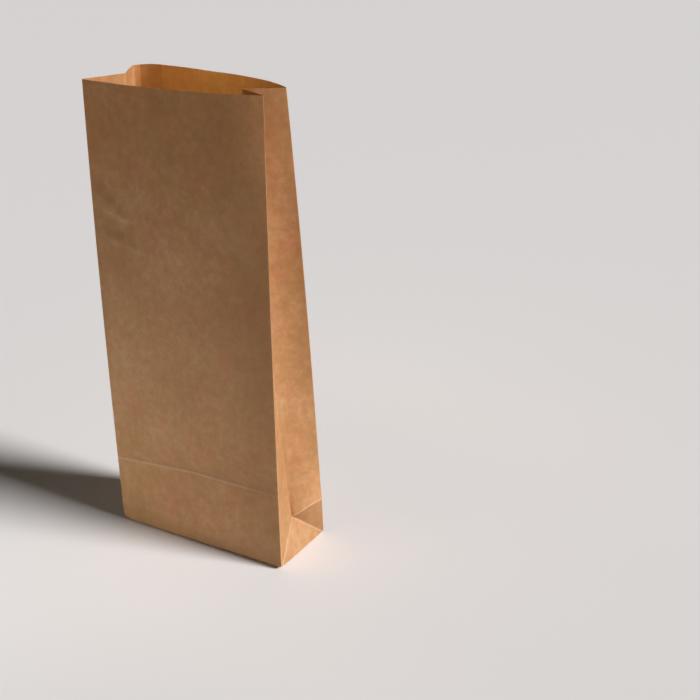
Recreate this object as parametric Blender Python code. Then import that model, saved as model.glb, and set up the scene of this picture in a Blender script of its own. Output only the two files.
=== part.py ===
"""Brown paper lunch bag, standing open: one sheet of kraft paper, folded and glued.

A square-bottom bag with a V-folded gusset down each side. Metres, +Z up, front panel facing -Y. The
origin is the middle of the base, on the surface that the bag stands on.
"""

import math

import bmesh
import bpy
from mathutils import Vector

# Driving dimensions of the paper bag.
WIDTH = 0.130  # front and back panels, crease to crease
DEPTH = 0.050  # each gusset opened flat, which is also the depth of the base
HEIGHT = 0.2963  # base to cut edge, standing
PLY = 0.00012  # one thickness of kraft paper
HALF_GUSSET = DEPTH / 2

# The base: plies glued one on another, with a small round where the walls turn under.
BASE_PLIES = 3
FLOOR = BASE_PLIES * PLY
TURN_UNDER = 0.0004
OUTER_FLAP_REACH = 0.83 * DEPTH  # from the front crease to the flap's free edge

# The lap down the back panel where the two edges of the sheet are glued, beside the back left crease.
LAP_WIDTH = 0.0168  # from the crease to the inner ply's cut edge
LAP_GAP = 0.0030  # from the crease to the outer ply's cut edge
CUT_EDGE = 0.00005  # how far along the panel a cut edge's step takes

# How far each upright crease has moved by the time it reaches the mouth, along X and Y.
MOUTH_SHIFT = {
    "front_left": (0.0004, 0.0115),
    "front_right": (0.0006, 0.0124),
    "back_right": (0.0004, -0.0155),
    "back_left": (-0.0008, 0.0085),
}
# How far each upright crease bows along X at half height.
CREASE_BOW = {
    "front_left": -0.0016,
    "front_right": -0.0009,
    "back_right": 0.0015,
    "back_left": -0.0008,
}
FRONT_BELLY = 0.0060  # how far the panels belly out between their creases at the mouth
BACK_BELLY = 0.0097
# How squarely each belly falls to its first and second crease: 2 is a plain arch.
FRONT_BELLY_SHAPE = (2, 3.6)
BACK_BELLY_SHAPE = (3, 9)
BELLY_POWER = 1.4  # how quickly the belly grows towards the mouth
BACK_EDGE_RISE = 0.0007  # the bellied back panel's cut edge stands this much higher
LEFT_PUSH_LOW = 0.0070  # how far in the left gusset's middle fold is, low down and at the mouth
LEFT_PUSH_MOUTH = 0.0135

# Creases left from when the bag lay flat, its base folded up against the back panel.
FLAT_FOLD_DENT = 0.0008  # the back panel's crease, half a base depth up, goes in this far
FLAT_FOLD_RIDGE = 0.0040  # the same crease on the back half of each gusset stands out this far
DENT_EDGE = 1 / 8  # share of the back panel's width over which the dent deepens from each side
FOLD_RISE = 0.0034  # the crease is this much higher on the back panel than at the middle folds
FOLD_ARCH = 0.0030  # and bows up this much between them
IMPRINT_HEIGHT = 0.051  # the base's far edge, pressed through into the front panel
IMPRINT_DENT = 0.0004
IMPRINT_SPREAD = 0.2 * IMPRINT_HEIGHT  # how far above and below the dent runs out
FOLD_FADE = IMPRINT_HEIGHT + IMPRINT_SPREAD  # the flat fold's dent and ridge have run out here
START_ROUNDS = 20  # rounds of working out, in turn, the height and the depth where the folds meet

# How finely the sheet is divided.
PANEL_STEPS = 13
HALF_GUSSET_STEPS = 5
BODY_ROWS = 15

CORNER = {
    "front_left": (-WIDTH / 2, -DEPTH / 2),
    "front_right": (WIDTH / 2, -DEPTH / 2),
    "back_right": (WIDTH / 2, DEPTH / 2),
    "back_left": (-WIDTH / 2, DEPTH / 2),
}
FRONT_STOPS = [i / PANEL_STEPS for i in range(PANEL_STEPS)]
LAP_STOPS = [
    1 - (LAP_WIDTH + CUT_EDGE) / WIDTH,
    1 - LAP_WIDTH / WIDTH,
    1 - LAP_GAP / WIDTH,
    1 - (LAP_GAP - CUT_EDGE) / WIDTH,
]
BACK_STOPS = FRONT_STOPS[:-1] + LAP_STOPS
GUSSET_STOPS = [i / HALF_GUSSET_STEPS for i in range(HALF_GUSSET_STEPS)]


def clear_scene():
    for old in list(bpy.data.objects):
        bpy.data.objects.remove(old, do_unlink=True)


def outward(start, end):
    """Square to the paper, out of the bag, where start to end runs anticlockwise."""
    along = end - start
    return Vector((along.y, -along.x, 0)).normalized()


def crease(name, z):
    """A corner crease of the bag at one height."""
    rise = z / HEIGHT
    x, y = CORNER[name]
    shift_x, shift_y = MOUTH_SHIFT[name]
    x += shift_x * rise + CREASE_BOW[name] * 4 * rise * (1 - rise)
    return Vector((x, y + shift_y * rise, z))


def middle_fold(side, z):
    """The inward fold down the middle of a gusset.

    On the right each half of the gusset keeps its width, so the fold goes in as the corner creases
    come together. The left gusset stays more open.
    """
    front, back = crease(f"front_{side}", z), crease(f"back_{side}", z)
    half_gap = (back - front).length / 2
    push = math.sqrt(max(HALF_GUSSET**2 - half_gap**2, 0))
    if side == "left":
        push = LEFT_PUSH_LOW + (LEFT_PUSH_MOUTH - LEFT_PUSH_LOW) * z / HEIGHT
    out = outward(front, back) if side == "right" else outward(back, front)
    return (front + back) / 2 - push * out


def start_height():
    """Height of the point where each gusset's folds meet, half a base depth up its sloping foot."""
    height = HALF_GUSSET
    for _ in range(START_ROUNDS):
        push = crease("front_right", 0).x - middle_fold("right", height).x
        height = math.sqrt(HALF_GUSSET**2 - push**2)
    return height


START = start_height()


def flat_fold(z, foot):
    """How strongly the crease from the flat-folded base shows: 0 at foot, 1 on it, 0 well above."""
    if z <= START:
        return max(0, (z - foot) / (START - foot)) if foot < START else 0
    return max(0, (FOLD_FADE - z) / (FOLD_FADE - START))


def fold_rise(across):
    """How much higher than the middle fold the crease is at a share across a gusset's back half."""
    return (1 - across) * (FOLD_RISE + 4 * FOLD_ARCH * across)


def front_point(across, z):
    """The front panel, bellied out towards the mouth, with the base's imprint across it."""
    a, b = crease("front_left", z), crease("front_right", z)
    belly = 1 - abs(2 * across - 1) ** FRONT_BELLY_SHAPE[across >= 0.5]
    out = FRONT_BELLY * belly * (z / HEIGHT) ** BELLY_POWER
    if across > 0:
        out -= IMPRINT_DENT * max(0, 1 - abs(z - IMPRINT_HEIGHT) / IMPRINT_SPREAD)
    return a.lerp(b, across) + out * outward(a, b)


def back_point(across, z):
    """The back panel, from the right, bellied out towards the mouth and creased low down."""
    folded = flat_fold(z, 0)
    z += FOLD_RISE * folded
    a, b = crease("back_right", z), crease("back_left", z)
    belly = 1 - abs(2 * across - 1) ** BACK_BELLY_SHAPE[across >= 0.5]
    out = BACK_BELLY * belly * (z / HEIGHT) ** BELLY_POWER
    out -= FLAT_FOLD_DENT * folded * min(1, across / DENT_EDGE, (1 - across) / DENT_EDGE)
    if across > 1 - LAP_GAP / WIDTH:
        out -= PLY
    point = a.lerp(b, across) + out * outward(a, b)
    point.z += BACK_EDGE_RISE * belly * z / HEIGHT
    return point


def gusset_point(side, corner, across, z):
    """A point on half a gusset: across runs from the corner crease (0) to the middle fold (1)."""
    start = middle_fold(side, START)
    foot = across * START
    if z < foot:
        a, b = crease(f"front_{side}", 0), crease(f"back_{side}", 0)
        near = crease(f"{corner}_{side}", 0)
        middle = (a + b) / 2
        return near + across * (middle - near) + z / START * (start - middle)
    low_down = z < START
    folded = flat_fold(z, foot) if corner == "back" else 0
    rise = fold_rise(across) if corner == "back" else 0
    z += rise * folded
    upright = crease(f"{corner}_{side}", z)
    if low_down:
        level_run = start - crease(f"{corner}_{side}", START + rise)
        level_run.z = 0
        point = upright + across * level_run
    else:
        point = upright.lerp(middle_fold(side, z), across)
    if corner == "back":
        ridge = FLAT_FOLD_RIDGE * folded * 4 * across * (1 - across)
        fold = middle_fold(side, max(z, START))
        fold.z = z
        out = outward(fold, upright) if side == "right" else outward(upright, fold)
        point += ridge * out
    return point


def outline(z):
    """The outer face of the paper at one height, as points anticlockwise from the front left."""
    points = [front_point(across, z) for across in FRONT_STOPS]
    points += [gusset_point("right", "front", across, z) for across in GUSSET_STOPS]
    points += [gusset_point("right", "back", 1 - across, z) for across in GUSSET_STOPS]
    points += [back_point(across, z) for across in BACK_STOPS]
    points += [gusset_point("left", "back", across, z) for across in GUSSET_STOPS]
    points += [gusset_point("left", "front", 1 - across, z) for across in GUSSET_STOPS]
    return points


def inset(points, distances):
    """The same outline moved inwards, square to the paper, by a distance for each point."""
    moved = []
    for i, point in enumerate(points):
        before = outward(points[i - 1], point)
        after = outward(point, points[(i + 1) % len(points)])
        moved.append(point - distances[i] * (before + after) / (1 + before.dot(after)))
    return moved


def paper_thickness():
    """One ply all round, and two where the sheet's edges lap. The gap beside the crease is level."""
    first = len(FRONT_STOPS) + 2 * len(GUSSET_STOPS) + len(BACK_STOPS) - len(LAP_STOPS)
    total = len(FRONT_STOPS) + 4 * len(GUSSET_STOPS) + len(BACK_STOPS)
    plies = [PLY] * total
    plies[first + 1] = plies[first + 2] = 2 * PLY
    return plies


def row_heights():
    """Heights of the rows: through the gusset folds, on the imprint, then evenly to the mouth."""
    rows = [START * i / HALF_GUSSET_STEPS for i in range(HALF_GUSSET_STEPS + 1)]
    rows[0] = FLOOR
    rows += [IMPRINT_HEIGHT - IMPRINT_SPREAD, IMPRINT_HEIGHT, IMPRINT_HEIGHT + IMPRINT_SPREAD]
    first = rows[-1]
    rows += [first + (HEIGHT - first) * i / BODY_ROWS for i in range(1, BODY_ROWS + 1)]
    return rows


def skin(mesh, lower, upper, splits):
    """Joins two rings of vertices. Cells named in splits are cut so that a fold is an edge."""
    count = len(lower)
    for i in range(count):
        j = (i + 1) % count
        if splits.get(i) == "rising":
            mesh.faces.new((lower[i], lower[j], upper[j]))
            mesh.faces.new((lower[i], upper[j], upper[i]))
        elif splits.get(i) == "falling":
            mesh.faces.new((lower[i], lower[j], upper[i]))
            mesh.faces.new((lower[j], upper[j], upper[i]))
        else:
            mesh.faces.new((lower[i], lower[j], upper[j], upper[i]))


def fold_cells(row):
    """The cells of a low row that the slanting gusset folds cross."""
    if row >= HALF_GUSSET_STEPS:
        return {}
    right = len(FRONT_STOPS)
    left = right + 2 * HALF_GUSSET_STEPS + len(BACK_STOPS)
    last = 2 * HALF_GUSSET_STEPS - 1
    return {
        right + row: "rising",
        right + last - row: "falling",
        left + row: "rising",
        left + last - row: "falling",
    }


class Underside:
    """The glued base seen from below: flat plies at three levels with a step at each ply's edge."""

    def __init__(self, mesh):
        self.mesh = mesh
        self.made = {}
        self.levels = {}

    def vertex(self, place, level):
        spot = (round(place[0], 7), round(place[1], 7))
        if (spot, level) not in self.made:
            self.made[spot, level] = self.mesh.verts.new((place[0], place[1], level * PLY))
            self.levels.setdefault(spot, set()).add(level)
        return self.made[spot, level]

    def ply(self, places, level):
        self.mesh.faces.new([self.vertex(place, level) for place in places])

    def rung(self, place, low, high):
        """The vertices at one place from a low level up to a high one."""
        spot = (round(place[0], 7), round(place[1], 7))
        return [self.made[spot, level] for level in sorted(self.levels[spot]) if low <= level <= high]

    def step(self, start, end, low, high):
        """The cut edge of a ply, from one place to another."""
        self.mesh.faces.new(self.rung(start, low, high) + self.rung(end, low, high)[::-1])


def make_underside(mesh, ring):
    """Closes the base from below and joins it to the lowest ring of the walls."""
    under = Underside(mesh)
    points = [vertex.co for vertex in ring]
    places = [tuple(point.xy) for point in inset(points, [TURN_UNDER] * len(points))]
    front_right = len(FRONT_STOPS)
    back_right = front_right + 2 * HALF_GUSSET_STEPS
    back_left = back_right + len(BACK_STOPS)
    sides = {
        "front": places[: front_right + 1],
        "right": places[front_right : back_right + 1],
        "back": places[back_right : back_left + 1],
        "left": places[back_left:] + places[:1],
    }
    end_x, front_y = sides["front"][-1]
    back_y = sides["back"][0][1]
    middle_y = (front_y + back_y) / 2
    meet_x = end_x - (middle_y - front_y)
    meet = {"right": (meet_x, middle_y), "left": (-meet_x, middle_y)}
    tip_x = end_x - OUTER_FLAP_REACH
    tip_y = front_y + OUTER_FLAP_REACH
    tips = {"right": (tip_x, tip_y), "left": (-tip_x, tip_y)}

    level_of = {"front": 0, "right": 2, "back": 1, "left": 2}
    under.ply([*sides["right"][::-1], meet["right"]], level_of["right"])
    under.ply([*sides["left"][::-1], meet["left"]], level_of["left"])
    outer_flap = [*sides["front"][::-1], meet["left"], tips["left"], tips["right"], meet["right"]]
    under.ply(outer_flap, level_of["front"])
    inner_flap = [*sides["back"][::-1], meet["right"], tips["right"], tips["left"], meet["left"]]
    under.ply(inner_flap, level_of["back"])

    under.step(sides["front"][-1], meet["right"], 0, 2)
    under.step(sides["front"][0], meet["left"], 0, 2)
    under.step(sides["back"][0], meet["right"], 1, 2)
    under.step(sides["back"][-1], meet["left"], 1, 2)
    under.step(meet["right"], tips["right"], 0, 1)
    under.step(meet["left"], tips["left"], 0, 1)
    under.step(tips["left"], tips["right"], 0, 1)

    first = 0
    for side, level in level_of.items():
        edge = sides[side]
        for i in range(len(edge) - 1):
            a, b = ring[(first + i) % len(ring)], ring[(first + i + 1) % len(ring)]
            mesh.faces.new((under.vertex(edge[i], level), under.vertex(edge[i + 1], level), b, a))
        mesh.faces.new([*under.rung(edge[0], 0, 2), ring[first]])
        first += len(edge) - 1


def make_bag():
    mesh = bmesh.new()
    rows = row_heights()
    plies = paper_thickness()
    outer, inner = [], []
    for z in rows:
        points = outline(z)
        outer.append([mesh.verts.new(point) for point in points])
        inner.append([mesh.verts.new(point) for point in inset(points, plies)])
    for row in range(len(rows) - 1):
        skin(mesh, outer[row], outer[row + 1], fold_cells(row))
        skin(mesh, inner[row], inner[row + 1], fold_cells(row))
    skin(mesh, outer[-1], inner[-1], {})
    mesh.faces.new(inner[0])
    make_underside(mesh, outer[0])
    bmesh.ops.triangulate(mesh, faces=[face for face in mesh.faces if len(face.verts) > 4])
    bmesh.ops.recalc_face_normals(mesh, faces=mesh.faces)
    data = bpy.data.meshes.new("paper_bag")
    mesh.to_mesh(data)
    mesh.free()
    bag = bpy.data.objects.new("paper_bag", data)
    bpy.context.scene.collection.objects.link(bag)
    return bag


def kraft_paper():
    """Plain unbleached kraft: warm brown and matt."""
    material = bpy.data.materials.new("kraft_paper")
    material.use_nodes = True
    shader = material.node_tree.nodes["Principled BSDF"]
    shader.inputs["Base Color"].default_value = (0.47, 0.26, 0.13, 1)
    shader.inputs["Roughness"].default_value = 0.85
    shader.inputs["Metallic"].default_value = 0
    return material


clear_scene()
paper_bag = make_bag()
paper_bag.data.materials.append(kraft_paper())
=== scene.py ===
"""Brown paper lunch bag, standing open: one sheet of kraft paper, folded and glued.

A square-bottom bag with a V-folded gusset down each side. Metres, +Z up, front panel facing -Y. The
origin is the middle of the base, on the surface that the bag stands on.
"""

import math

import bmesh
import bpy
import numpy as np
from mathutils import Matrix, Vector


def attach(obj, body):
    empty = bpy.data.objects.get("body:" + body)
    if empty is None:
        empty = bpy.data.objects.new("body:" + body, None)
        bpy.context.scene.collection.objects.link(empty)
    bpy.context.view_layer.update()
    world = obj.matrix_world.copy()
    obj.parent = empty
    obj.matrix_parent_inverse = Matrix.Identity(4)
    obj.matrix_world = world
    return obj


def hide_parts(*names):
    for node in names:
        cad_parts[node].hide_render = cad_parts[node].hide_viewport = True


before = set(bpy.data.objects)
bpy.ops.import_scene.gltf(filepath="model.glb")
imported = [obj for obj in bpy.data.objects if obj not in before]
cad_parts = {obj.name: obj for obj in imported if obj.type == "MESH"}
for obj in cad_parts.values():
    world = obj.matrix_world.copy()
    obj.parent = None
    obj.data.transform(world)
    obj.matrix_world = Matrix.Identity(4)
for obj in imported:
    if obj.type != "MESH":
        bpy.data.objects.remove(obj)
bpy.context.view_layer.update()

# ---------------------------------------------------------------------------------------------
# The camera: a long lens at the height of a person leaning on the table, in front of the bag and a
# little to its right, looking down on it and rolled very slightly.
# ---------------------------------------------------------------------------------------------
CAMERA_AZIMUTH = math.radians(31.826)
CAMERA_ELEVATION = math.radians(23.879)
CAMERA_ROLL = math.radians(-2.072)
CAMERA_DISTANCE = 0.63192
CAMERA_AIM = Vector((0.121533, -0.025, 0.163526))
LENS_MM = 59.166


def place_camera():
    back = Vector((
        math.sin(CAMERA_AZIMUTH) * math.cos(CAMERA_ELEVATION),
        -math.cos(CAMERA_AZIMUTH) * math.cos(CAMERA_ELEVATION),
        math.sin(CAMERA_ELEVATION),
    ))
    level = (-back).cross(Vector((0, 0, 1))).normalized()
    upright = level.cross(-back)
    right = math.cos(CAMERA_ROLL) * level + math.sin(CAMERA_ROLL) * upright
    up = math.cos(CAMERA_ROLL) * upright - math.sin(CAMERA_ROLL) * level
    lens = bpy.data.cameras.new("camera")
    lens.lens = LENS_MM
    lens.sensor_width = 36
    lens.clip_start = 0.01
    lens.clip_end = 100
    camera = bpy.data.objects.new("camera", lens)
    camera.matrix_world = Matrix.Translation(CAMERA_AIM + CAMERA_DISTANCE * back) @ Matrix(
        (right, up, back)
    ).transposed().to_4x4()
    bpy.context.scene.collection.objects.link(camera)
    bpy.context.scene.camera = camera


place_camera()

# ---------------------------------------------------------------------------------------------
# The bag: one sheet of plain unbleached kraft, wrapped round into a tube with a glued lap down the
# back, creased into a front, a back and two V gussets, and folded and glued flat across the foot.
# It was stored flat with its foot folded up, and it keeps those creases now that it stands open.
# ---------------------------------------------------------------------------------------------
WIDTH = 0.130  # front and back panels, crease to crease
DEPTH = 0.050  # each gusset opened flat, which is also the depth of the base
HEIGHT = 0.2963  # base to cut edge, standing
PLY = 0.00012  # one thickness of kraft paper
HALF_GUSSET = DEPTH / 2
CORNER = {
    "front_left": (-WIDTH / 2, -DEPTH / 2),
    "front_right": (WIDTH / 2, -DEPTH / 2),
    "back_right": (WIDTH / 2, DEPTH / 2),
    "back_left": (-WIDTH / 2, DEPTH / 2),
}
# How far each upright crease has moved by the time it reaches the mouth, along X and Y.
MOUTH_SHIFT = {
    "front_left": (0.0004, 0.0115),
    "front_right": (0.0006, 0.0124),
    "back_right": (0.0004, -0.0155),
    "back_left": (-0.0008, 0.0085),
}
# How far each upright crease bows along X at half height.
CREASE_BOW = {
    "front_left": -0.0016,
    "front_right": -0.0009,
    "back_right": 0.0015,
    "back_left": -0.0008,
}
FRONT_BELLY = 0.0060  # how far the panels belly out between their creases at the mouth
BACK_BELLY = 0.0097
# How squarely each belly falls to its first and second crease: 2 is a plain arch.
FRONT_BELLY_SHAPE = (2, 3.6)
BACK_BELLY_SHAPE = (3, 9)
BELLY_POWER = 1.4  # how quickly the belly grows towards the mouth
BACK_EDGE_RISE = 0.0007  # the bellied back panel's cut edge stands this much higher
LEFT_PUSH_LOW = 0.0070  # how far in the left gusset's middle fold is, low down and at the mouth
LEFT_PUSH_MOUTH = 0.0135


def row(z):
    """Puts one more axis on heights, so that they go with points."""
    return z[..., None]


def between(a, b, share):
    """The point a share of the way from a to b."""
    return a + (b - a) * row(share)


def outward(start, end):
    """Square to the paper and level, out of the bag, where start to end runs anticlockwise."""
    along = end - start
    out = np.stack([along[..., 1], -along[..., 0], np.zeros(along.shape[:-1])], -1)
    return out / np.linalg.norm(out, axis=-1, keepdims=True)


def crease(name, z):
    """A corner crease of the bag at each height."""
    rise = z / HEIGHT
    x, y = CORNER[name]
    shift_x, shift_y = MOUTH_SHIFT[name]
    bow = CREASE_BOW[name] * 4 * rise * (1 - rise)
    return np.stack([x + shift_x * rise + bow, y + shift_y * rise, z], -1)


def middle_fold(side, z):
    """The inward fold down the middle of a gusset, at each height."""
    front, back = crease("front_" + side, z), crease("back_" + side, z)
    half_gap = np.linalg.norm(back - front, axis=-1) / 2
    push = np.sqrt(np.maximum(HALF_GUSSET**2 - half_gap**2, 0))
    out = outward(front, back)
    if side == "left":
        push = LEFT_PUSH_LOW + (LEFT_PUSH_MOUTH - LEFT_PUSH_LOW) * z / HEIGHT
        out = outward(back, front)
    return (front + back) / 2 - row(push) * out


START_ROUNDS = 20  # rounds of settling the height where the folds meet


def start_height():
    """Height of the point where each gusset's folds meet, half a base depth up its sloping foot."""
    height = HALF_GUSSET
    for _ in range(START_ROUNDS):
        push = WIDTH / 2 - middle_fold("right", np.array(height))[0]
        height = math.sqrt(HALF_GUSSET**2 - push**2)
    return height


START = start_height()


def bump_at(distance, spread):
    """A smooth hump, 1 where the distance is nothing."""
    return np.exp(-((distance / spread) ** 2))


def smooth(value, low, high):
    """Rises smoothly from 0 at low to 1 at high."""
    share = np.clip((value - low) / (high - low), 0, 1)
    return share * share * (3 - 2 * share)


class Slack:
    """The small uneven buckles of thin paper, as a sum of gentle waves over a panel."""

    def __init__(self, seed, waves, shortest, longest):
        draw = np.random.default_rng(seed)
        self.length = shortest * (longest / shortest) ** draw.random(waves)
        self.turn = math.pi * draw.random(waves)
        self.phase = 2 * math.pi * draw.random(waves)

    def at(self, along, up):
        total = 0
        for length, turn, phase in zip(self.length, self.turn, self.phase):
            distance = math.cos(turn) * along + math.sin(turn) * up
            total = total + np.sin(2 * math.pi * distance / length + phase)
        return total / math.sqrt(len(self.length))


PANELS = ("front", "back", "side")
SMALL_SEED = 9
BROAD = {
    name: Slack(seed, waves=7, shortest=0.034, longest=0.110) for seed, name in enumerate(PANELS)
}
SMALL = {
    name: Slack(seed, waves=12, shortest=0.007, longest=0.024)
    for seed, name in enumerate(PANELS, SMALL_SEED)
}
BROAD_SLACK = 0.00022
SMALL_SLACK = 0.000035
SLACK_START = 0.03  # the buckles reach their full height this far above the foot


def slack(panel, across, width, z):
    """How far a panel's paper stands proud in its buckles, dying away at its creases and foot."""
    held = np.sqrt(np.clip(4 * across * (1 - across), 0, 1)) * smooth(z, 0, SLACK_START)
    along = across * width
    uneven = BROAD_SLACK * BROAD[panel].at(along, z) + SMALL_SLACK * SMALL[panel].at(along, z)
    return held * uneven


# Where the far edge of the folded-up foot pressed through the front panel, from the left crease.
IMPRINT_LEFT = 0.0472
IMPRINT_RIGHT = 0.0529
IMPRINT_KNEE = 0.50  # share of the width over which its line climbs
IMPRINT_STEP = 0.00048  # the paper below the line stands this much proud
IMPRINT_SHARPNESS = 0.00090
IMPRINT_FADE = 0.022
IMPRINT_LIP = 0.00010  # the rolled lip just under the line, how far under it is and how wide
LIP_DROP = 0.0008
LIP_WIDTH = 0.0009
IMPRINT_ENDS = (-0.002, 0.010)  # the line fades out over these shares in from each crease
# Small wrinkles: from and to, as (share across, height), how far they stand out and how wide they are.
FRONT_WRINKLES = (
    ((0.020, 0.2215), (0.290, 0.2125), 0.00060, 0.0020),
    ((0.015, 0.2395), (0.185, 0.2225), -0.00070, 0.0042),
    ((0.030, 0.2020), (0.400, 0.1938), 0.00045, 0.0019),
    ((0.020, 0.2090), (0.240, 0.2040), -0.00045, 0.0028),
    ((0.050, 0.2290), (0.160, 0.2180), 0.00030, 0.0015),
    ((0.425, 0.2140), (0.470, 0.1935), 0.00034, 0.0024),
    ((0.430, 0.1930), (0.570, 0.1965), 0.00032, 0.0022),
    ((0.560, 0.2150), (0.600, 0.1990), 0.00018, 0.0022),
    ((0.090, 0.0204), (0.310, 0.0227), 0.00008, 0.0009),
    ((0.290, 0.0225), (0.520, 0.0256), 0.00014, 0.0008),
    ((0.470, 0.0520), (0.510, 0.0485), -0.00012, 0.0009),
    ((0.300, 0.1050), (0.560, 0.1000), 0.00010, 0.0040),
)
WRINKLE_ENDS = (-0.12, 0.25)  # a wrinkle dies away over these shares of its length
WRINKLE_BREAKS = 0.38  # how far its height comes and goes on the way
BREAK_TURN = 17  # how quickly it does so, and how differently from one wrinkle to the next
BREAK_SHIFT = 60


def imprint_line(across):
    """Height of the pressed line at each share across the front panel."""
    climb = np.minimum(across / IMPRINT_KNEE, 1)
    return IMPRINT_LEFT + (IMPRINT_RIGHT - IMPRINT_LEFT) * climb


def wrinkles(across, z):
    """How far the front panel's small wrinkles stand proud, most of them at its left."""
    proud = 0
    for (a0, z0), (a1, z1), height, spread in FRONT_WRINKLES:
        run_x, run_z = (a1 - a0) * WIDTH, z1 - z0
        length = math.hypot(run_x, run_z)
        x, y = (across - a0) * WIDTH, z - z0
        along = (x * run_x + y * run_z) / length**2
        off = (y * run_x - x * run_z) / length
        ends = smooth(along, *WRINKLE_ENDS) * smooth(1 - along, *WRINKLE_ENDS)
        broken = 1 - WRINKLE_BREAKS + WRINKLE_BREAKS * np.cos(BREAK_TURN * along + BREAK_SHIFT * a0)
        proud = proud + height * ends * broken * bump_at(off, spread)
    return proud


def front_detail(across, z):
    """How far the front panel's creases and wrinkles stand proud of it."""
    above = z - imprint_line(across)
    step = 0.5 - 0.5 * np.tanh(above / IMPRINT_SHARPNESS)
    fade = np.exp(-np.abs(above) / IMPRINT_FADE)
    proud = IMPRINT_STEP * (step - 0.5) * fade + IMPRINT_LIP * bump_at(above + LIP_DROP, LIP_WIDTH)
    proud = proud * smooth(across, *IMPRINT_ENDS) * smooth(1 - across, *IMPRINT_ENDS)
    return proud + wrinkles(across, z)


EDGE_POWER = 8  # how close to the side creases the wrinkles and the pressed line reach
LEFT_AT_EDGE = 0.02  # and the share of them that is left on the crease itself


def front_point(across, z):
    """The front panel, bellied out towards the mouth, with its pressed line and wrinkles."""
    a, b = crease("front_left", z), crease("front_right", z)
    belly = 1 - np.abs(2 * across - 1) ** np.where(across < 0.5, *FRONT_BELLY_SHAPE)
    out = FRONT_BELLY * belly * (z / HEIGHT) ** BELLY_POWER
    edges = np.clip(1 + LEFT_AT_EDGE - np.abs(2 * across - 1) ** EDGE_POWER, 0, 1)
    out = out + front_detail(across, z) * edges + slack("front", across, WIDTH, z)
    return between(a, b, across) + row(out) * outward(a, b)


# The crease across the back of the flat-folded foot, on the back panel and the gussets' back halves.
FLAT_FOLD_DENT = 0.0008  # how far it dents the back panel, in full this share in from the edges
DENT_EDGE = 1 / 8
FLAT_FOLD_RIDGE = 0.0040  # how far it stands out of the gussets, and how squarely
RIDGE_POWER = 0.7
FOLD_FADE = 0.0580  # the height at which it has died away
FOLD_RISE = 0.0034  # the crease stands this much higher on the back panel than at the middle folds
FOLD_ARCH = 0.0030  # and bows up this much between them
# The lap down the back panel where the two edges of the sheet are glued, beside the back left crease.
LAP_WIDTH = 0.0168  # from the crease to the inner ply's cut edge
LAP_GAP = 0.0030  # from the crease to the outer ply's cut edge
CUT_EDGE = 0.00005  # how far each cut edge leans over its own thickness


def flat_fold(z, foot):
    """How strongly the crease from the flat-folded foot shows: 0 at its foot, 1 on it, 0 well above."""
    rising = (z - foot) / np.maximum(START - foot, 1e-6)
    falling = (FOLD_FADE - z) / (FOLD_FADE - START)
    return np.clip(np.where(z <= START, rising, falling), 0, 1)


def back_point(across, z):
    """The back panel, from the right, bellied out towards the mouth and creased low down."""
    level = z
    z = z + FOLD_RISE * flat_fold(level, 0)
    a, b = crease("back_right", z), crease("back_left", z)
    belly = 1 - np.abs(2 * across - 1) ** np.where(across < 0.5, *BACK_BELLY_SHAPE)
    out = BACK_BELLY * belly * (z / HEIGHT) ** BELLY_POWER
    inside_edges = np.clip(np.minimum(across, 1 - across) / DENT_EDGE, 0, 1)
    out = out - FLAT_FOLD_DENT * flat_fold(level, 0) * inside_edges
    out = out + slack("back", across, WIDTH, z)
    out = out - np.where(across > 1 - LAP_GAP / WIDTH, PLY, 0)
    point = between(a, b, across) + row(out) * outward(a, b)
    point[..., 2] += BACK_EDGE_RISE * belly * z / HEIGHT
    return point


def fold_rise(across):
    """How far the crease has risen at each share across a gusset's back half."""
    return (1 - across) * (FOLD_RISE + 4 * FOLD_ARCH * across)


GUSSET_SLACK = 0.6  # a gusset buckles less than a panel
BUCKLES_START = 0.004  # the front half's buckles reach their full height this far above its foot
GUSSET_SAG = 0.0012  # the back half of each gusset hollows this much between its creases
SAG_GROWS = (0.050, 0.130)  # the heights over which the hollow comes and goes
SAG_ENDS = (0.205, 0.275)
MOUTH_BULGE = 0.0005  # and stands out this much at the mouth
BULGE_GROWS = (0.225, 0.290)
DENT_SLOPE = 0.0035  # each dent is this much lower at the middle fold
# The dents: the height of each on the corner crease, how far it stands out and how tall it is.
GUSSET_DENTS = ((0.0510, -0.00070, 0.0016), (0.0560, 0.00030, 0.0040), (0.2650, -0.00025, 0.0060))


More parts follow.
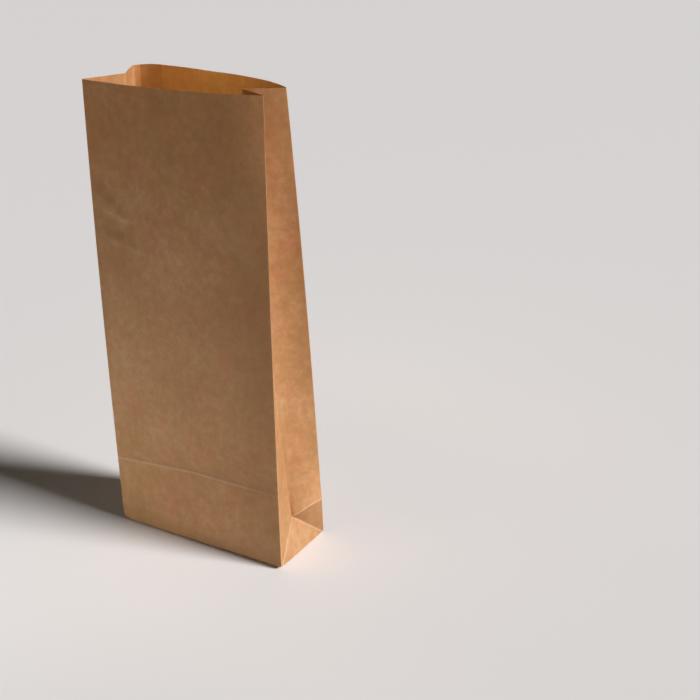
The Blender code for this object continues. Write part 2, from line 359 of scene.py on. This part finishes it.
def gusset_point(side, corner, across, z):
    """Points on half a gusset: across runs from the corner crease (0) to the middle fold (1)."""
    start = middle_fold(side, np.full_like(z, START))
    foot = across * START
    folded = flat_fold(z, foot) if corner == "back" else np.zeros_like(z)
    low_down = z < START
    z = z + fold_rise(across) * folded
    upright = crease(f"{corner}_{side}", z)
    ground = np.zeros_like(z)
    near = crease(f"{corner}_{side}", ground)
    middle = (crease("front_" + side, ground) + crease("back_" + side, ground)) / 2
    base_triangle = near + row(across) * (middle - near) + row(z / START) * (start - middle)
    level = START + fold_rise(across) * (corner == "back")
    at_start = crease(f"{corner}_{side}", level)
    flat = (start - at_start) * np.array([1, 1, 0])
    low = upright + row(across) * flat
    fold = middle_fold(side, np.maximum(z, START))
    high = between(upright, fold, across)
    point = np.where(row(low_down), low, high)
    fold[..., 2] = z
    out = outward(fold, upright) if (side == "right") == (corner == "back") else outward(upright, fold)
    hump = 4 * across * (1 - across)
    proud = GUSSET_SLACK * slack("side", across, HALF_GUSSET, z)
    if corner == "back":
        proud = proud + FLAT_FOLD_RIDGE * folded * hump**RIDGE_POWER
        proud = proud - GUSSET_SAG * hump * smooth(z, *SAG_GROWS) * (1 - smooth(z, *SAG_ENDS))
        proud = proud + MOUTH_BULGE * hump * smooth(z, *BULGE_GROWS)
        for height, depth, spread in GUSSET_DENTS:
            proud = proud + depth * bump_at(z - height + DENT_SLOPE * across, spread) * hump
    else:
        proud = proud * smooth(z - foot, 0, BUCKLES_START)
    point = point + row(proud) * out
    return np.where(row(z < foot), base_triangle, point)


# How finely the sheet is divided: closer beside each crease than in the open paper.
BESIDE_CREASE = np.array([0.0004, 0.0011, 0.0022])


def stops(width, open_steps):
    """Shares across a panel at which its columns stand, from 0 up to but not including 1."""
    near = BESIDE_CREASE / width
    spread = np.linspace(near[-1], 1 - near[-1], open_steps + 1)[1:-1]
    return np.concatenate([[0], near, spread, 1 - near[::-1]])


FRONT_STOPS = stops(WIDTH, open_steps=66)
GUSSET_STOPS = stops(HALF_GUSSET, open_steps=19)
LAP_STOPS = 1 - np.array([LAP_WIDTH + CUT_EDGE, LAP_WIDTH, LAP_GAP, LAP_GAP - CUT_EDGE]) / WIDTH
BACK_STOPS = np.sort(np.concatenate([stops(WIDTH, open_steps=36), LAP_STOPS]))
FRONT_COLUMNS, HALF_COLUMNS, BACK_COLUMNS = len(FRONT_STOPS), len(GUSSET_STOPS), len(BACK_STOPS)
FRONT_RIGHT = FRONT_COLUMNS
RIGHT_FOLD = FRONT_RIGHT + HALF_COLUMNS
BACK_RIGHT = RIGHT_FOLD + HALF_COLUMNS
BACK_LEFT = BACK_RIGHT + BACK_COLUMNS
LEFT_FOLD = BACK_LEFT + HALF_COLUMNS
COLUMNS = LEFT_FOLD + HALF_COLUMNS
LOWEST_ROW = 0.00020
LINE_ABOVE = np.array([0.0002, 0.0006, 0.0011, 0.0017, 0.0026])  # rows above the pressed line
LINE_ROWS = np.concatenate([-LINE_ABOVE[::-1], LINE_ABOVE])
BELOW_LINE_ROWS = 18
ABOVE_LINE_ROWS = 140


def row_heights():
    """Heights of the rows: through the gusset folds, close together at the pressed line, then evenly."""
    low = START * np.append(GUSSET_STOPS, 1)
    low[0] = LOWEST_ROW
    line = IMPRINT_RIGHT + LINE_ROWS
    below = np.linspace(START, line[0], BELOW_LINE_ROWS + 1)[1:-1]
    above = np.linspace(line[-1], HEIGHT, ABOVE_LINE_ROWS + 1)[1:]
    return np.concatenate([low, below, line, above])


LEVEL_AGAIN = (IMPRINT_RIGHT + 0.002, 0.10)  # the heights over which the rows turn level again


def sheet_points():
    """The outer face of the paper: for each row, points anticlockwise from the front left crease."""
    heights = row_heights()
    flat = np.zeros(HALF_COLUMNS)
    # The rows dip at the left so that one of them follows the pressed line.
    dip = np.concatenate([
        imprint_line(FRONT_STOPS) - IMPRINT_RIGHT,
        flat, flat, np.zeros(BACK_COLUMNS), flat,
        (IMPRINT_LEFT - IMPRINT_RIGHT) * GUSSET_STOPS,
    ])
    follow = smooth(heights, START, IMPRINT_LEFT) * (1 - smooth(heights, *LEVEL_AGAIN))
    z = heights[:, None] + follow[:, None] * dip[None, :]
    parts = (
        (front_point, FRONT_STOPS, 0),
        (lambda a, h: gusset_point("right", "front", a, h), GUSSET_STOPS, FRONT_RIGHT),
        (lambda a, h: gusset_point("right", "back", 1 - a, h), GUSSET_STOPS, RIGHT_FOLD),
        (back_point, BACK_STOPS, BACK_RIGHT),
        (lambda a, h: gusset_point("left", "back", a, h), GUSSET_STOPS, BACK_LEFT),
        (lambda a, h: gusset_point("left", "front", 1 - a, h), GUSSET_STOPS, LEFT_FOLD),
    )
    made = []
    for shape, across, first in parts:
        heights_here = z[:, first:first + len(across)]
        made.append(shape(np.broadcast_to(across, heights_here.shape), heights_here))
    return np.concatenate(made, 1)


CREASE_SOFTNESS = 0.55
FOLD_ROUNDS = 3  # times that the open middle folds are eased, over this many columns each side
FOLD_REACH = 2
FOLD_OPEN = 1.9  # they are open from this many times the height at which they start


def soften(points):
    """Rounds the creases a little, as folded paper is, and the middle folds more above the foot."""
    for column in (0, FRONT_RIGHT, BACK_RIGHT, BACK_LEFT):
        before, after = points[:, column - 1], points[:, (column + 1) % COLUMNS]
        points[:, column] += CREASE_SOFTNESS * ((before + after) / 2 - points[:, column])
    eased = row(smooth(points[:, RIGHT_FOLD, 2], START, FOLD_OPEN * START))
    for column in (RIGHT_FOLD, LEFT_FOLD):
        for _ in range(FOLD_ROUNDS):
            near = points[:, column - FOLD_REACH - 1:column + FOLD_REACH + 2]
            middle = (near[:, :-2] + near[:, 2:]) / 2
            points[:, column - FOLD_REACH:column + FOLD_REACH + 1] += (
                0.5 * eased[:, None] * (middle - near[:, 1:-1])
            )


FOOT_RADIUS = 0.0024  # how the walls turn under, over this many rows
FOOT_ROWS = 4
BLUNT_CORNER = 0.0015  # how far the front left corner of the foot is blunted, which way and over what
BLUNT_WAY = np.array([0.75, 0.45, 0.0])
BLUNT_REACH = 0.0022
CORNER_LIFT = 0.0008  # how far that corner stands off the floor
CORNER_REACH = 0.003
FOOT_LIFT = 0.0011  # how far the foot's front edge stands off the floor at its right end
LIFT_GROWS = (-0.015, 0.060)  # where along the edge it starts, and where it is in full
LIFT_DEPTH = 0.012  # how quickly it dies away behind the edge and above it
LIFT_HEIGHT = 0.015
MOUTH_WAVER = 0.00006  # how far the cut edge strays up and down
WAVER_BELOW = 0.255  # the paper lower than this doesn't stray with it


def rework_ends(points):
    """Rounds the foot where the walls turn under, blunts its front left corner, lifts its front edge,
    and lets the cut edge waver."""
    for r in range(FOOT_ROWS):
        z = points[r, :, 2]
        inset = FOOT_RADIUS - np.sqrt(np.maximum(FOOT_RADIUS**2 - np.maximum(FOOT_RADIUS - z, 0) ** 2, 0))
        points[r, :, 0] *= 1 - inset / (WIDTH / 2)
        points[r, :, 1] *= 1 - inset / (DEPTH / 2)
    corner = points[0, 0].copy()
    distance = np.linalg.norm(points - corner, axis=-1)
    points += row(BLUNT_CORNER * np.exp(-distance / BLUNT_REACH)) * BLUNT_WAY
    points[..., 2] += CORNER_LIFT * np.exp(-np.linalg.norm(points - corner, axis=-1) / CORNER_REACH)
    x, y, z = points[..., 0], points[..., 1], points[..., 2].copy()
    near_edge = np.exp(-(y + DEPTH / 2) / LIFT_DEPTH) * np.exp(-z / LIFT_HEIGHT)
    points[..., 2] += FOOT_LIFT * smooth(x, *LIFT_GROWS) * near_edge
    run = np.cumsum(np.linalg.norm(np.diff(points[-1], axis=0, append=points[-1][:1]), axis=-1))
    stray = MOUTH_WAVER * Slack(seed=31, waves=9, shortest=0.009, longest=0.060).at(run, 0)
    points[..., 2] += stray[None, :] * smooth(points[..., 2], WAVER_BELOW, HEIGHT)


LAP_LIFT = 0.00014  # the inner ply's cut edge curls this far off the paper, over this width
LAP_CURL = 0.0035


def inner_points(points):
    """The inner face of the paper, one ply in, or two where the edges of the sheet lap."""
    before, after = np.roll(points, 1, 1), np.roll(points, -1, 1)
    straight_in, straight_out = outward(before, points), outward(points, after)
    mitre = (straight_in + straight_out) / (1 + (straight_in * straight_out).sum(-1, keepdims=True))
    thick = np.full(COLUMNS, PLY)
    from_crease = (1 - BACK_STOPS) * WIDTH
    two_plies = (from_crease < LAP_WIDTH + CUT_EDGE / 2) & (from_crease > LAP_GAP - CUT_EDGE / 2)
    curl = LAP_LIFT * np.clip(1 - (LAP_WIDTH - from_crease) / LAP_CURL, 0, 1) ** 2
    thick[BACK_RIGHT:BACK_LEFT] += np.where(two_plies, PLY + curl, 0)
    return points - thick[None, :, None] * mitre


FAR_FROM_FOLD = 0.02
FAINT_LINE = 0.00010  # the least distance that the pressed line is given: the more, the fainter it is
FAINT_MORE = 0.0006  # how much more it is given towards the right, and over what shares across
FAINT_GROWS = (0.70, 0.98)
LINE_BELOW = 0.0003  # the painted highlight lies this far under the pressed line


def distances_from_folds(z):
    """How far each point is from its panel's slanting or pressed fold, and from its level fold."""
    from_fold = np.full(z.shape, FAR_FROM_FOLD)
    from_level = np.full(z.shape, FAR_FROM_FOLD)
    for first, shares in (
        (FRONT_RIGHT, GUSSET_STOPS), (RIGHT_FOLD, 1 - GUSSET_STOPS),
        (BACK_LEFT, GUSSET_STOPS), (LEFT_FOLD, 1 - GUSSET_STOPS),
    ):
        low = np.where(z[:, first:first + HALF_COLUMNS] < 2 * START, z[:, first:first + HALF_COLUMNS], 1)
        from_fold[:, first:first + HALF_COLUMNS] = (low - shares * START) * math.sqrt(0.5)
    level = np.full(LEFT_FOLD + 1 - RIGHT_FOLD, START + FOLD_RISE)
    level[:HALF_COLUMNS] = START + fold_rise(1 - GUSSET_STOPS)
    level[BACK_LEFT - RIGHT_FOLD:] = START + fold_rise(np.append(GUSSET_STOPS, 1))
    from_level[:, RIGHT_FOLD:LEFT_FOLD + 1] = z[:, RIGHT_FOLD:LEFT_FOLD + 1] - level
    above = z[:, :FRONT_COLUMNS] - imprint_line(FRONT_STOPS)
    faint = FAINT_LINE + FAINT_MORE * smooth(FRONT_STOPS, *FAINT_GROWS)
    from_fold[:, :FRONT_COLUMNS] = np.hypot(above + LINE_BELOW, faint)
    return from_fold, from_level


BESIDE_WORN = 0.35  # how worn the paper is next to a worn crease
WRINKLE_FULL_PAINT = 0.0005  # a wrinkle this high gets the full painted highlight, and one this deep the full painted shade
MOST_WRINKLE_PAINT = 0.8
# Painted shade: how dark each part is, and over what shares across or heights it grows.
ABOVE_LINE_DARK = 0.32  # a soft band above the pressed line, its height above it and its spread
ABOVE_LINE = 0.0016
ABOVE_LINE_SPREAD = 0.0012
SIDE_DARK = 0.95  # down the right side
SIDE_GROWS = (0.66, 1.0)
SIDE_BELOW_MOUTH = (0.022, 0.055)
SIDE_LOW_SHARE = 0.35  # how much of it is left near the foot
SIDE_RISES = (0.08, 0.18)
FOOT_DARK_HEIGHT = 0.0100  # along the foot, away from the left corner
FOOT_GROWS = (0.20, 0.60)
TRIANGLE_MARGIN = 0.0003  # the darkened triangle stops this far under the level fold


def marks_of_wear_and_painted_light(points):
    """For each point, its marks: how worn its crease is, with a painted highlight on raised wrinkles, how
    much painted shade it gets, and how far it is from its panel's slanting or pressed fold and from its
    level fold."""
    z = points[..., 2]
    from_fold, from_level = distances_from_folds(z)
    wear_and_highlight = np.zeros(z.shape)
    for column in (0, FRONT_RIGHT, BACK_RIGHT, BACK_LEFT):
        wear_and_highlight[:, column] = 1
        wear_and_highlight[:, column - 1] = wear_and_highlight[:, (column + 1) % COLUMNS] = BESIDE_WORN
    front = z[:, :FRONT_COLUMNS]
    across = np.broadcast_to(FRONT_STOPS, front.shape)
    # Raised wrinkles get a painted highlight, and their dips painted shade below.
    rumpled = wrinkles(across, front) / WRINKLE_FULL_PAINT
    wear_and_highlight[:, :FRONT_COLUMNS] += np.clip(rumpled, 0, MOST_WRINKLE_PAINT)
    # Painted shade: a band above the pressed line, the right side, the foot, the dips of the wrinkles, and
    # the triangle at the foot of the right gusset's back half.
    dark = np.zeros(z.shape)
    dark[:, :FRONT_COLUMNS] += ABOVE_LINE_DARK * bump_at(
        front - imprint_line(across) - ABOVE_LINE, ABOVE_LINE_SPREAD
    )
    below_mouth = smooth(HEIGHT - front, *SIDE_BELOW_MOUTH)
    upper = SIDE_LOW_SHARE + (1 - SIDE_LOW_SHARE) * smooth(front, *SIDE_RISES)
    dark[:, :FRONT_COLUMNS] += SIDE_DARK * smooth(across, *SIDE_GROWS) * below_mouth * upper
    dark[:, :FRONT_COLUMNS] += bump_at(front, FOOT_DARK_HEIGHT) * smooth(across, *FOOT_GROWS)
    dark[:, :FRONT_COLUMNS] += np.clip(-rumpled, 0, MOST_WRINKLE_PAINT)
    right_back = slice(RIGHT_FOLD, BACK_RIGHT)
    in_triangle = z[:, right_back] > (1 - GUSSET_STOPS) * START
    dark[:, right_back] += in_triangle & (from_level[:, right_back] < -TRIANGLE_MARGIN)
    return {
        "wear_and_highlight": np.clip(wear_and_highlight, 0, 1), "painted_shade": np.clip(dark, 0, 1),
        "from_fold": from_fold, "from_level": from_level,
    }


def skin(mesh, lower, upper, splits):
    """Joins two rings of vertices. Cells named in splits are cut so that a fold is an edge."""
    count = len(lower)
    for i in range(count):
        j = (i + 1) % count
        if splits.get(i) == "rising":
            mesh.faces.new((lower[i], lower[j], upper[j]))
            mesh.faces.new((lower[i], upper[j], upper[i]))
        elif splits.get(i) == "falling":
            mesh.faces.new((lower[i], lower[j], upper[i]))
            mesh.faces.new((lower[j], upper[j], upper[i]))
        else:
            mesh.faces.new((lower[i], lower[j], upper[j], upper[i]))


def fold_cells(low_row):
    """The cells of a low row that the slanting gusset folds cross."""
    if low_row >= HALF_COLUMNS:
        return {}
    return {
        FRONT_RIGHT + low_row: "rising",
        BACK_RIGHT - 1 - low_row: "falling",
        BACK_LEFT + low_row: "rising",
        COLUMNS - 1 - low_row: "falling",
    }


TURN_UNDER = 0.0028  # the flat of the foot starts this far in from the walls
FLAP_SHARE = 0.83
OUTER_FLAP_REACH = FLAP_SHARE * DEPTH  # from the front crease to the flap's free edge


class Underside:
    """The glued base seen from below: flat plies at three levels with a step at each ply's edge."""

    def __init__(self, mesh):
        self.mesh = mesh
        self.made = {}
        self.levels = {}

    def vertex(self, place, level):
        spot = (round(place[0], 7), round(place[1], 7))
        if (spot, level) not in self.made:
            self.made[spot, level] = self.mesh.verts.new((place[0], place[1], level * PLY))
            self.levels.setdefault(spot, set()).add(level)
        return self.made[spot, level]

    def ply(self, places, level):
        self.mesh.faces.new([self.vertex(place, level) for place in places])

    def rung(self, place, low, high):
        """The vertices at one place from a low level up to a high one."""
        spot = (round(place[0], 7), round(place[1], 7))
        return [self.made[spot, level] for level in sorted(self.levels[spot]) if low <= level <= high]

    def step(self, start, end, low, high):
        """The cut edge of a ply, from one place to another."""
        self.mesh.faces.new(self.rung(start, low, high) + self.rung(end, low, high)[::-1])


def make_underside(mesh, ring, lowest):
    """Closes the base from below and joins it to the lowest ring of the walls."""
    under = Underside(mesh)
    smaller = 1 - 2 * TURN_UNDER / np.array([WIDTH, DEPTH])
    places = [tuple(place) for place in lowest[:, :2] * smaller]
    sides = {
        "front": places[:FRONT_RIGHT + 1],
        "right": places[FRONT_RIGHT:BACK_RIGHT + 1],
        "back": places[BACK_RIGHT:BACK_LEFT + 1],
        "left": places[BACK_LEFT:] + places[:1],
    }
    end_x, front_y = sides["front"][-1]
    middle_y = (front_y + sides["back"][0][1]) / 2
    meet_x = end_x - (middle_y - front_y)
    meet = {"right": (meet_x, middle_y), "left": (-meet_x, middle_y)}
    tip_x = end_x - OUTER_FLAP_REACH
    tip_y = front_y + OUTER_FLAP_REACH
    tips = {"right": (tip_x, tip_y), "left": (-tip_x, tip_y)}
    level_of = {"front": 0, "right": 2, "back": 1, "left": 2}
    under.ply([*sides["right"][::-1], meet["right"]], level_of["right"])
    under.ply([*sides["left"][::-1], meet["left"]], level_of["left"])
    outer_flap = [*sides["front"][::-1], meet["left"], tips["left"], tips["right"], meet["right"]]
    under.ply(outer_flap, level_of["front"])
    inner_flap = [*sides["back"][::-1], meet["right"], tips["right"], tips["left"], meet["left"]]
    under.ply(inner_flap, level_of["back"])
    under.step(sides["front"][-1], meet["right"], 0, 2)
    under.step(sides["front"][0], meet["left"], 0, 2)
    under.step(sides["back"][0], meet["right"], 1, 2)
    under.step(sides["back"][-1], meet["left"], 1, 2)
    under.step(meet["right"], tips["right"], 0, 1)
    under.step(meet["left"], tips["left"], 0, 1)
    under.step(tips["left"], tips["right"], 0, 1)
    first = 0
    for side, level in level_of.items():
        edge = sides[side]
        for i in range(len(edge) - 1):
            a, b = ring[(first + i) % len(ring)], ring[(first + i + 1) % len(ring)]
            mesh.faces.new((under.vertex(edge[i], level), under.vertex(edge[i + 1], level), b, a))
        mesh.faces.new([*under.rung(edge[0], 0, 2), ring[first]])
        first += len(edge) - 1


SHARP_FOLD = math.radians(13)
FOOT_PLIES = 3  # the plies glued together in the foot, which its inner face lies on
LAP_DULLNESS = 0.9  # two glued plies let less light through, so the lap looks duller inside


def make_bag():
    """The folded sheet as one closed skin, with its marks of wear and its painted highlights and shade."""
    outer = sheet_points()
    soften(outer)
    rework_ends(outer)
    inner = inner_points(outer)
    inner[0, :, 2] += FOOT_PLIES * PLY
    marks = marks_of_wear_and_painted_light(outer)
    inside = {name: mark.copy() for name, mark in marks.items()}
    from_crease = (1 - BACK_STOPS) * WIDTH
    lap = (from_crease < LAP_WIDTH) & (from_crease > LAP_GAP)
    inside["painted_shade"][:, BACK_RIGHT:BACK_LEFT] = np.where(lap, LAP_DULLNESS, 0)
    mesh = bmesh.new()

    def rings(points, marks):
        layers = [mesh.verts.layers.float[name] for name in marks]
        made = []
        for r in range(len(points)):
            ring = [mesh.verts.new(point) for point in points[r].tolist()]
            values = np.stack([mark[r] for mark in marks.values()], -1).tolist()
            for vertex, amounts in zip(ring, values):
                for layer, amount in zip(layers, amounts):
                    vertex[layer] = amount
            made.append(ring)
        return made

    for name in marks:
        mesh.verts.layers.float.new(name)
    outer_rings, inner_rings = rings(outer, marks), rings(inner, inside)
    for r in range(len(outer_rings) - 1):
        skin(mesh, outer_rings[r], outer_rings[r + 1], fold_cells(r))
        skin(mesh, inner_rings[r], inner_rings[r + 1], fold_cells(r))
    skin(mesh, outer_rings[-1], inner_rings[-1], {})
    mesh.faces.new(inner_rings[0])
    make_underside(mesh, outer_rings[0], outer[0])
    bmesh.ops.triangulate(mesh, faces=[face for face in mesh.faces if len(face.verts) > 4])
    bmesh.ops.recalc_face_normals(mesh, faces=mesh.faces)
    data = bpy.data.meshes.new("paper_lunch_bag")
    mesh.to_mesh(data)
    mesh.free()
    data.shade_smooth()
    data.set_sharp_from_angle(angle=SHARP_FOLD)
    bag = bpy.data.objects.new("paper_lunch_bag", data)
    bpy.context.scene.collection.objects.link(bag)
    return bag


paper_lunch_bag = make_bag()
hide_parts("paper_bag")
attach(paper_lunch_bag, "root")


class Socket:
    """A shader value that adds its Math nodes as it is worked on."""

    def __init__(self, nodes, output):
        self.nodes = nodes
        self.output = output

    def math(self, operation, *values):
        return self.nodes.add("ShaderNodeMath", {"operation": operation}, dict(enumerate(values)))

    def __add__(self, other):
        return self.math("ADD", self, other)

    def __sub__(self, other):
        return self.math("SUBTRACT", self, other)

    def __mul__(self, other):
        return self.math("MULTIPLY", self, other)

    __radd__ = __add__
    __rmul__ = __mul__

    def __rsub__(self, other):
        return self.math("SUBTRACT", other, self)


class Nodes:
    """The nodes of a material, or of the world."""

    def __init__(self, owner):
        owner.use_nodes = True
        self.tree = owner.node_tree
        self.tree.nodes.clear()

    def add(self, kind, settings, values, output=0):
        """Adds a node, sets it up, and fills or links its sockets."""
        node = self.tree.nodes.new(kind)
        for name, value in settings.items():
            setattr(node, name, value)
        for name, value in values.items():
            if isinstance(value, Socket):
                self.tree.links.new(value.output, node.inputs[name])
            else:
                node.inputs[name].default_value = value
        return None if output is None else Socket(self, node.outputs[output])


KRAFT = (0.506, 0.260, 0.102, 1)
KRAFT_RED = (0.525, 0.247, 0.102, 1)
KRAFT_OLIVE = (0.482, 0.262, 0.096, 1)
KRAFT_DARK = (0.300, 0.138, 0.046, 1)
KRAFT_PALE = (0.710, 0.460, 0.258, 1)
GLOW_THROUGH = (0.95, 0.62, 0.30, 1)
TRANSLUCENCY = 0.20


# How strongly each size of cloud and fibre shows in the paper's tone.
CLOUD_TONE = 0.75
MOTTLE_TONE = 0.95
BLOT_TONE = 0.40
GRAIN_TONE = 0.30
STREAK_TONE = 0.10
DARKEST = 0.42  # the most that the tone darkens or pales the paper, and that a fleck or the painted shade darkens it
PALEST = 0.40
FLECK_DARK = 0.22
PAINTED_SHADE_DARK = 0.40
WEAR_AND_HIGHLIGHT_PALE = 0.42  # how pale a worn crease and the painted highlight on a raised wrinkle are, and the painted highlight along a slanting or pressed fold and along a level fold
FOLD_HIGHLIGHT = 0.60
LEVEL_HIGHLIGHT = 0.70
FOLD_LINE = 0.0011  # half the width of a fold's painted highlight line
LEVEL_LINE = 0.0008
PALE_MARK_LEAST = 0.45  # a worn crease or painted highlight is at least this pale, and more where the mottle is
PALE_MARK_MOTTLE = 1.1
FIBRE_RELIEF = 0.30
STREAK_RELIEF = 0.10
RELIEF_STRENGTH = 0.35
RELIEF_HEIGHT = 0.0004
KRAFT_ROUGHNESS = 0.70
ROUGHNESS_RANGE = 0.25


def kraft_paper():
    """Unbleached kraft: clouded, fibrous, streaked along the web, paler where a crease is worn, with
    painted highlights along its folds and raised wrinkles, and painted shade.
    """
    material = bpy.data.materials.new("kraft_paper")
    n = Nodes(material)
    place = n.add("ShaderNodeTexCoord", {}, {}, output="Object")

    def noise(scale, detail, stretch=(1, 1, 1), roughness=0.55):
        spot = n.add("ShaderNodeMapping", {}, {"Vector": place, "Scale": stretch})
        sizes = {"Vector": spot, "Scale": scale, "Detail": detail, "Roughness": roughness}
        return n.add("ShaderNodeTexNoise", {}, sizes)

    def mix(factor, first, second):
        settings = {"data_type": "RGBA", "blend_type": "MIX"}
        return n.add("ShaderNodeMix", settings, {0: factor, 6: first, 7: second}, output=2)

    def mark(name):
        return n.add("ShaderNodeAttribute", {"attribute_name": name}, {}, output="Fac")

    def ramp(value, between, heights, interpolation="LINEAR"):
        """Carries a value from the first range over to the second."""
        return n.add("ShaderNodeMapRange", {"interpolation_type": interpolation}, {
            "Value": value, "From Min": between[0], "From Max": between[1],
            "To Min": heights[0], "To Max": heights[1],
        })

    def line(name, half_width):
        """A thin uneven line where the named distance is nothing."""
        distance = mark(name)
        return ramp(distance.math("ABSOLUTE", distance), (half_width, 0.0), (0.0, 1.0), "SMOOTHSTEP")

    clouds = noise(scale=26, detail=2)
    warmth = noise(scale=62, detail=3, stretch=(1, 1, 0.75))
    mottle = noise(scale=190, detail=3)
    blots = noise(scale=420, detail=2, stretch=(1, 1, 0.8))
    grain = noise(scale=1500, detail=2)
    streaks = noise(scale=150, detail=3, stretch=(3.2, 3.2, 0.28))
    flecks = noise(scale=900, detail=1, stretch=(1, 1, 0.45), roughness=0.4)

    tone = 0.5 + (clouds - 0.5) * CLOUD_TONE + (mottle - 0.5) * MOTTLE_TONE + (blots - 0.5) * BLOT_TONE
    tone = tone + (grain - 0.5) * GRAIN_TONE + (streaks - 0.5) * STREAK_TONE
    darker = ramp(tone, (0.15, 0.5), (DARKEST, 0.0))
    paler = ramp(tone, (0.5, 0.85), (0.0, PALEST))
    fleck = ramp(flecks, (0.64, 0.72), (0.0, FLECK_DARK))
    redder = ramp(warmth, (0.52, 0.66), (0.0, 1.0))
    greener = ramp(warmth, (0.48, 0.34), (0.0, 1.0))
    colour = mix(greener, mix(redder, KRAFT, KRAFT_RED), KRAFT_OLIVE)
    colour = mix(darker, colour, KRAFT_DARK)
    colour = mix(paler, colour, KRAFT_PALE)
    colour = mix(fleck, colour, KRAFT_DARK)
    # Painted shade: darkens the paper by the mark set for shade on the bag.
    colour = mix(mark("painted_shade") * PAINTED_SHADE_DARK, colour, KRAFT_DARK)
    # Paler where a crease is worn, and painted highlights on raised wrinkles and along the folds.
    pale_wear_and_highlight = mark("wear_and_highlight") * WEAR_AND_HIGHLIGHT_PALE
    pale_wear_and_highlight = pale_wear_and_highlight + line("from_fold", FOLD_LINE) * FOLD_HIGHLIGHT + line("from_level", LEVEL_LINE) * LEVEL_HIGHLIGHT
    colour = mix(pale_wear_and_highlight * (PALE_MARK_LEAST + mottle * PALE_MARK_MOTTLE), colour, KRAFT_PALE)

    relief = mottle * FIBRE_RELIEF + blots * FIBRE_RELIEF + grain * FIBRE_RELIEF
    relief = relief + streaks * STREAK_RELIEF
    bump = n.add("ShaderNodeBump", {}, {
        "Strength": RELIEF_STRENGTH, "Distance": RELIEF_HEIGHT, "Height": relief,
    })
    paper = n.add("ShaderNodeBsdfPrincipled", {}, {
        "Base Color": colour,
        "Roughness": KRAFT_ROUGHNESS + (mottle - 0.5) * ROUGHNESS_RANGE,
        "Normal": bump,
        "Specular IOR Level": 0.32,
    })
    glow = n.add("ShaderNodeBsdfTranslucent", {}, {"Color": GLOW_THROUGH})
    both = n.add("ShaderNodeMixShader", {}, {0: TRANSLUCENCY, 1: paper, 2: glow})
    n.add("ShaderNodeOutputMaterial", {}, {"Surface": both}, output=None)
    return material


paper_lunch_bag.data.materials.append(kraft_paper())

# ---------------------------------------------------------------------------------------------
# The studio: a plain pale floor and backdrop, a soft key from the right and a little behind, a weak
# low fill in front, and a small warm lamp over the mouth. None of it is part of the bag.
# ---------------------------------------------------------------------------------------------
FLOOR_RADIUS = 12
FLOOR_COLOUR = (0.94, 0.925, 0.865, 1)
KEY_FROM = Vector((0.89, 0.13, 0.49))
KEY_STRENGTH = 4.55
KEY_COLOUR = (1.0, 0.985, 1.05)
KEY_SPREAD = math.radians(18)
WORLD_COLOUR = (1.0, 0.87, 0.72, 1)
WORLD_STRENGTH = 0.03
BACKDROP_COLOUR = (0.72, 0.70, 0.69, 1)  # seen past the floor's far edge, and it lights nothing
# Name, place, point aimed at, watts, width, depth, how widely it throws its light, and its colour.
LAMPS = (
    ("low_fill", Vector((-0.22, -0.40, 0.02)), Vector((-0.03, -0.025, 0.030)),
     0.122, 0.10, 0.10, math.radians(60), (0.86, 0.91, 1.0)),
    ("mouth_lamp", Vector((-0.008, -0.006, 0.365)), Vector((-0.008, 0.026, 0.285)),
     0.043, 0.11, 0.02, math.radians(110), (0.92, 0.70, 0.34)),
)


def make_floor():
    """A wide plain disc that the bag stands on."""
    mesh = bmesh.new()
    bmesh.ops.create_circle(mesh, cap_ends=True, segments=96, radius=FLOOR_RADIUS)
    data = bpy.data.meshes.new("studio_floor")
    mesh.to_mesh(data)
    mesh.free()
    floor = bpy.data.objects.new("studio_floor", data)
    bpy.context.scene.collection.objects.link(floor)
    material = bpy.data.materials.new("studio_floor")
    n = Nodes(material)
    matt = n.add("ShaderNodeBsdfPrincipled", {}, {
        "Base Color": FLOOR_COLOUR, "Roughness": 0.9, "Specular IOR Level": 0.1,
    })
    n.add("ShaderNodeOutputMaterial", {}, {"Surface": matt}, output=None)
    data.materials.append(material)


def place_lights():
    """The key, and the two small lamps that the camera doesn't see."""
    key = bpy.data.objects.new("key", bpy.data.lights.new("key", "SUN"))
    key.data.energy = KEY_STRENGTH
    key.data.color = KEY_COLOUR
    key.data.angle = KEY_SPREAD
    key.rotation_euler = KEY_FROM.to_track_quat("Z", "Y").to_euler()
    bpy.context.scene.collection.objects.link(key)

    for name, place, aim, power, width, depth, throw, colour in LAMPS:
        lamp = bpy.data.objects.new(name, bpy.data.lights.new(name, "AREA"))
        lamp.data.energy = power
        lamp.data.shape = "RECTANGLE"
        lamp.data.size = width
        lamp.data.size_y = depth
        lamp.data.spread = throw
        lamp.data.color = colour
        lamp.location = place
        lamp.rotation_euler = (place - aim).to_track_quat("Z", "Y").to_euler()
        lamp.visible_camera = False
        bpy.context.scene.collection.objects.link(lamp)


def make_world():
    """Weak warm light from all round, and a pale backdrop that only the camera sees."""
    world = bpy.data.worlds.new("studio")
    n = Nodes(world)
    light = n.add("ShaderNodeBackground", {}, {"Color": WORLD_COLOUR, "Strength": WORLD_STRENGTH})
    backdrop = n.add("ShaderNodeBackground", {}, {"Color": BACKDROP_COLOUR})
    seen = n.add("ShaderNodeLightPath", {}, {}, output="Is Camera Ray")
    both = n.add("ShaderNodeMixShader", {}, {0: seen, 1: light, 2: backdrop})
    n.add("ShaderNodeOutputWorld", {}, {"Surface": both}, output=None)
    bpy.context.scene.world = world


make_floor()
place_lights()
make_world()
bpy.context.scene.view_settings.view_transform = "Standard"
